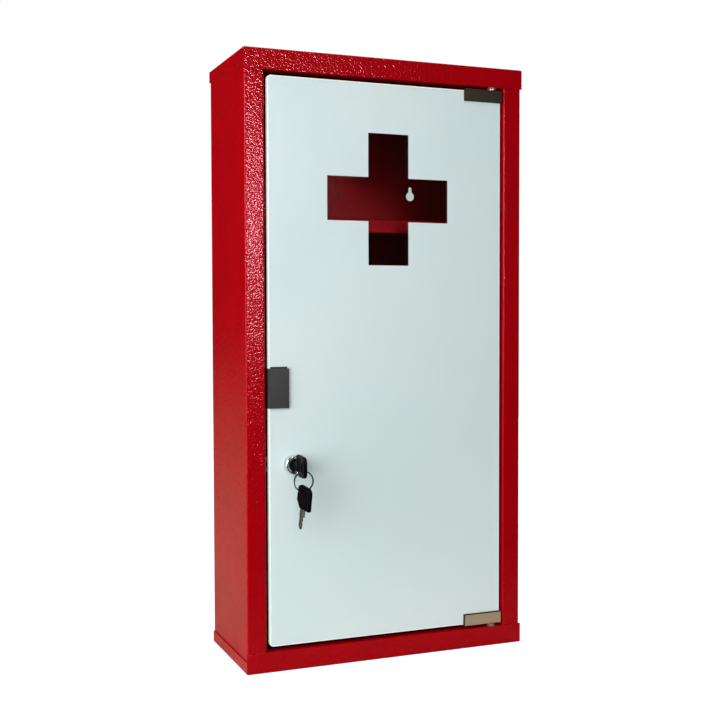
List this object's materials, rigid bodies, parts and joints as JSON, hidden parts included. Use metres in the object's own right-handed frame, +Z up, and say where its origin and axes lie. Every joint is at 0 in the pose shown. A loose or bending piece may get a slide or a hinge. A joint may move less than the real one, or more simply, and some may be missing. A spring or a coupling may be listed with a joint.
{
  "type": "lockable medicine cabinet",
  "caption": "Wall-hung sheet-steel medicine cabinet with fixed shelves, a frosted glass door on pivot clamps with a clear cross window, a cam lock and its keys.",
  "frame": {"origin": "middle of the underside of the case", "axes": "+X to the right seen from the front, +Y back to the wall, +Z up"},
  "size_m": [0.3, 0.1658, 0.6],
  "materials": {
    "red_powder_coat": "textured powder coat",
    "glass": "clear float glass with polished edges",
    "frosted_coat": "pale frosted coat",
    "satin_nickel": "satin nickel plate",
    "zinc_plate": "zinc plate",
    "chrome": "bright chrome plate",
    "dark_plug": "satin black",
    "key_steel": "nickel plate",
    "black_plastic": "moulded, satin",
    "charcoal_plastic": "moulded, satin",
    "nylon": "natural nylon",
    "rubber": "matt",
    "fibre": "pressed fibre"
  },
  "bodies": {
    "cabinet": {"cabinet_wrap": "red_powder_coat", "top_cap": "red_powder_coat", "bottom_cap": "red_powder_coat", "upper_shelf": "red_powder_coat", "middle_shelf": "red_powder_coat", "lower_shelf": "red_powder_coat", "strike_plate": "zinc_plate", "strike_rivets": "zinc_plate", "door_bumper": "rubber", "upper_bush": "nylon", "lower_bush": "nylon"},
    "door": {"door_glass": "glass", "frost_coat": "frosted_coat", "upper_clamp": "satin_nickel", "lower_clamp": "satin_nickel", "upper_clamp_liner": "rubber", "lower_clamp_liner": "rubber", "upper_clamp_screws": "zinc_plate", "lower_clamp_screws": "zinc_plate", "upper_pivot_pin": "zinc_plate", "lower_pivot_pin": "zinc_plate", "pull_clip": "charcoal_plastic", "pull_liners": "rubber", "pull_screws": "zinc_plate", "lock_barrel": "chrome", "lock_gasket": "rubber", "lock_washer": "fibre", "lock_nut": "zinc_plate"},
    "plug_and_cam": {"lock_plug": "dark_plug", "lock_cam": "zinc_plate", "cam_screw": "zinc_plate"},
    "key": {"key_blade": "key_steel", "key_head": "black_plastic"},
    "ring": {"key_ring": "key_steel"},
    "spare_key": {"spare_key_blade": "key_steel", "spare_key_head": "black_plastic"}
  },
  "joints": [
    {"name": "door_swing", "type": "hinge", "parent": "cabinet", "child": "door", "pos_m": [0.1175, -0.0576, 0.3], "axis": [0, 0, 1], "range_deg": [0, 110]},
    {"name": "lock_turn", "type": "hinge", "parent": "door", "child": "plug_and_cam", "pos_m": [-0.1015, -0.055, 0.2015], "axis": [0, 1, 0], "range_deg": [0, 90]},
    {"name": "key_withdraw", "type": "slide", "parent": "plug_and_cam", "child": "key", "axis": [0, -1, 0], "range_m": [0, 0.022]},
    {"name": "ring_hang", "type": "hinge", "parent": "key", "child": "ring", "pos_m": [-0.1015, -0.091, 0.19455], "axis": [0, 1, 0], "range_deg": [-90, 0]},
    {"name": "spare_key_swing", "type": "hinge", "parent": "ring", "child": "spare_key", "pos_m": [-0.1015, -0.091, 0.17957], "axis": [1, 0, 0], "range_deg": [-15, 15]}
  ],
  "couplings": [
    {"joint": "ring_hang", "follows": "lock_turn", "ratio": -1}
  ]
}
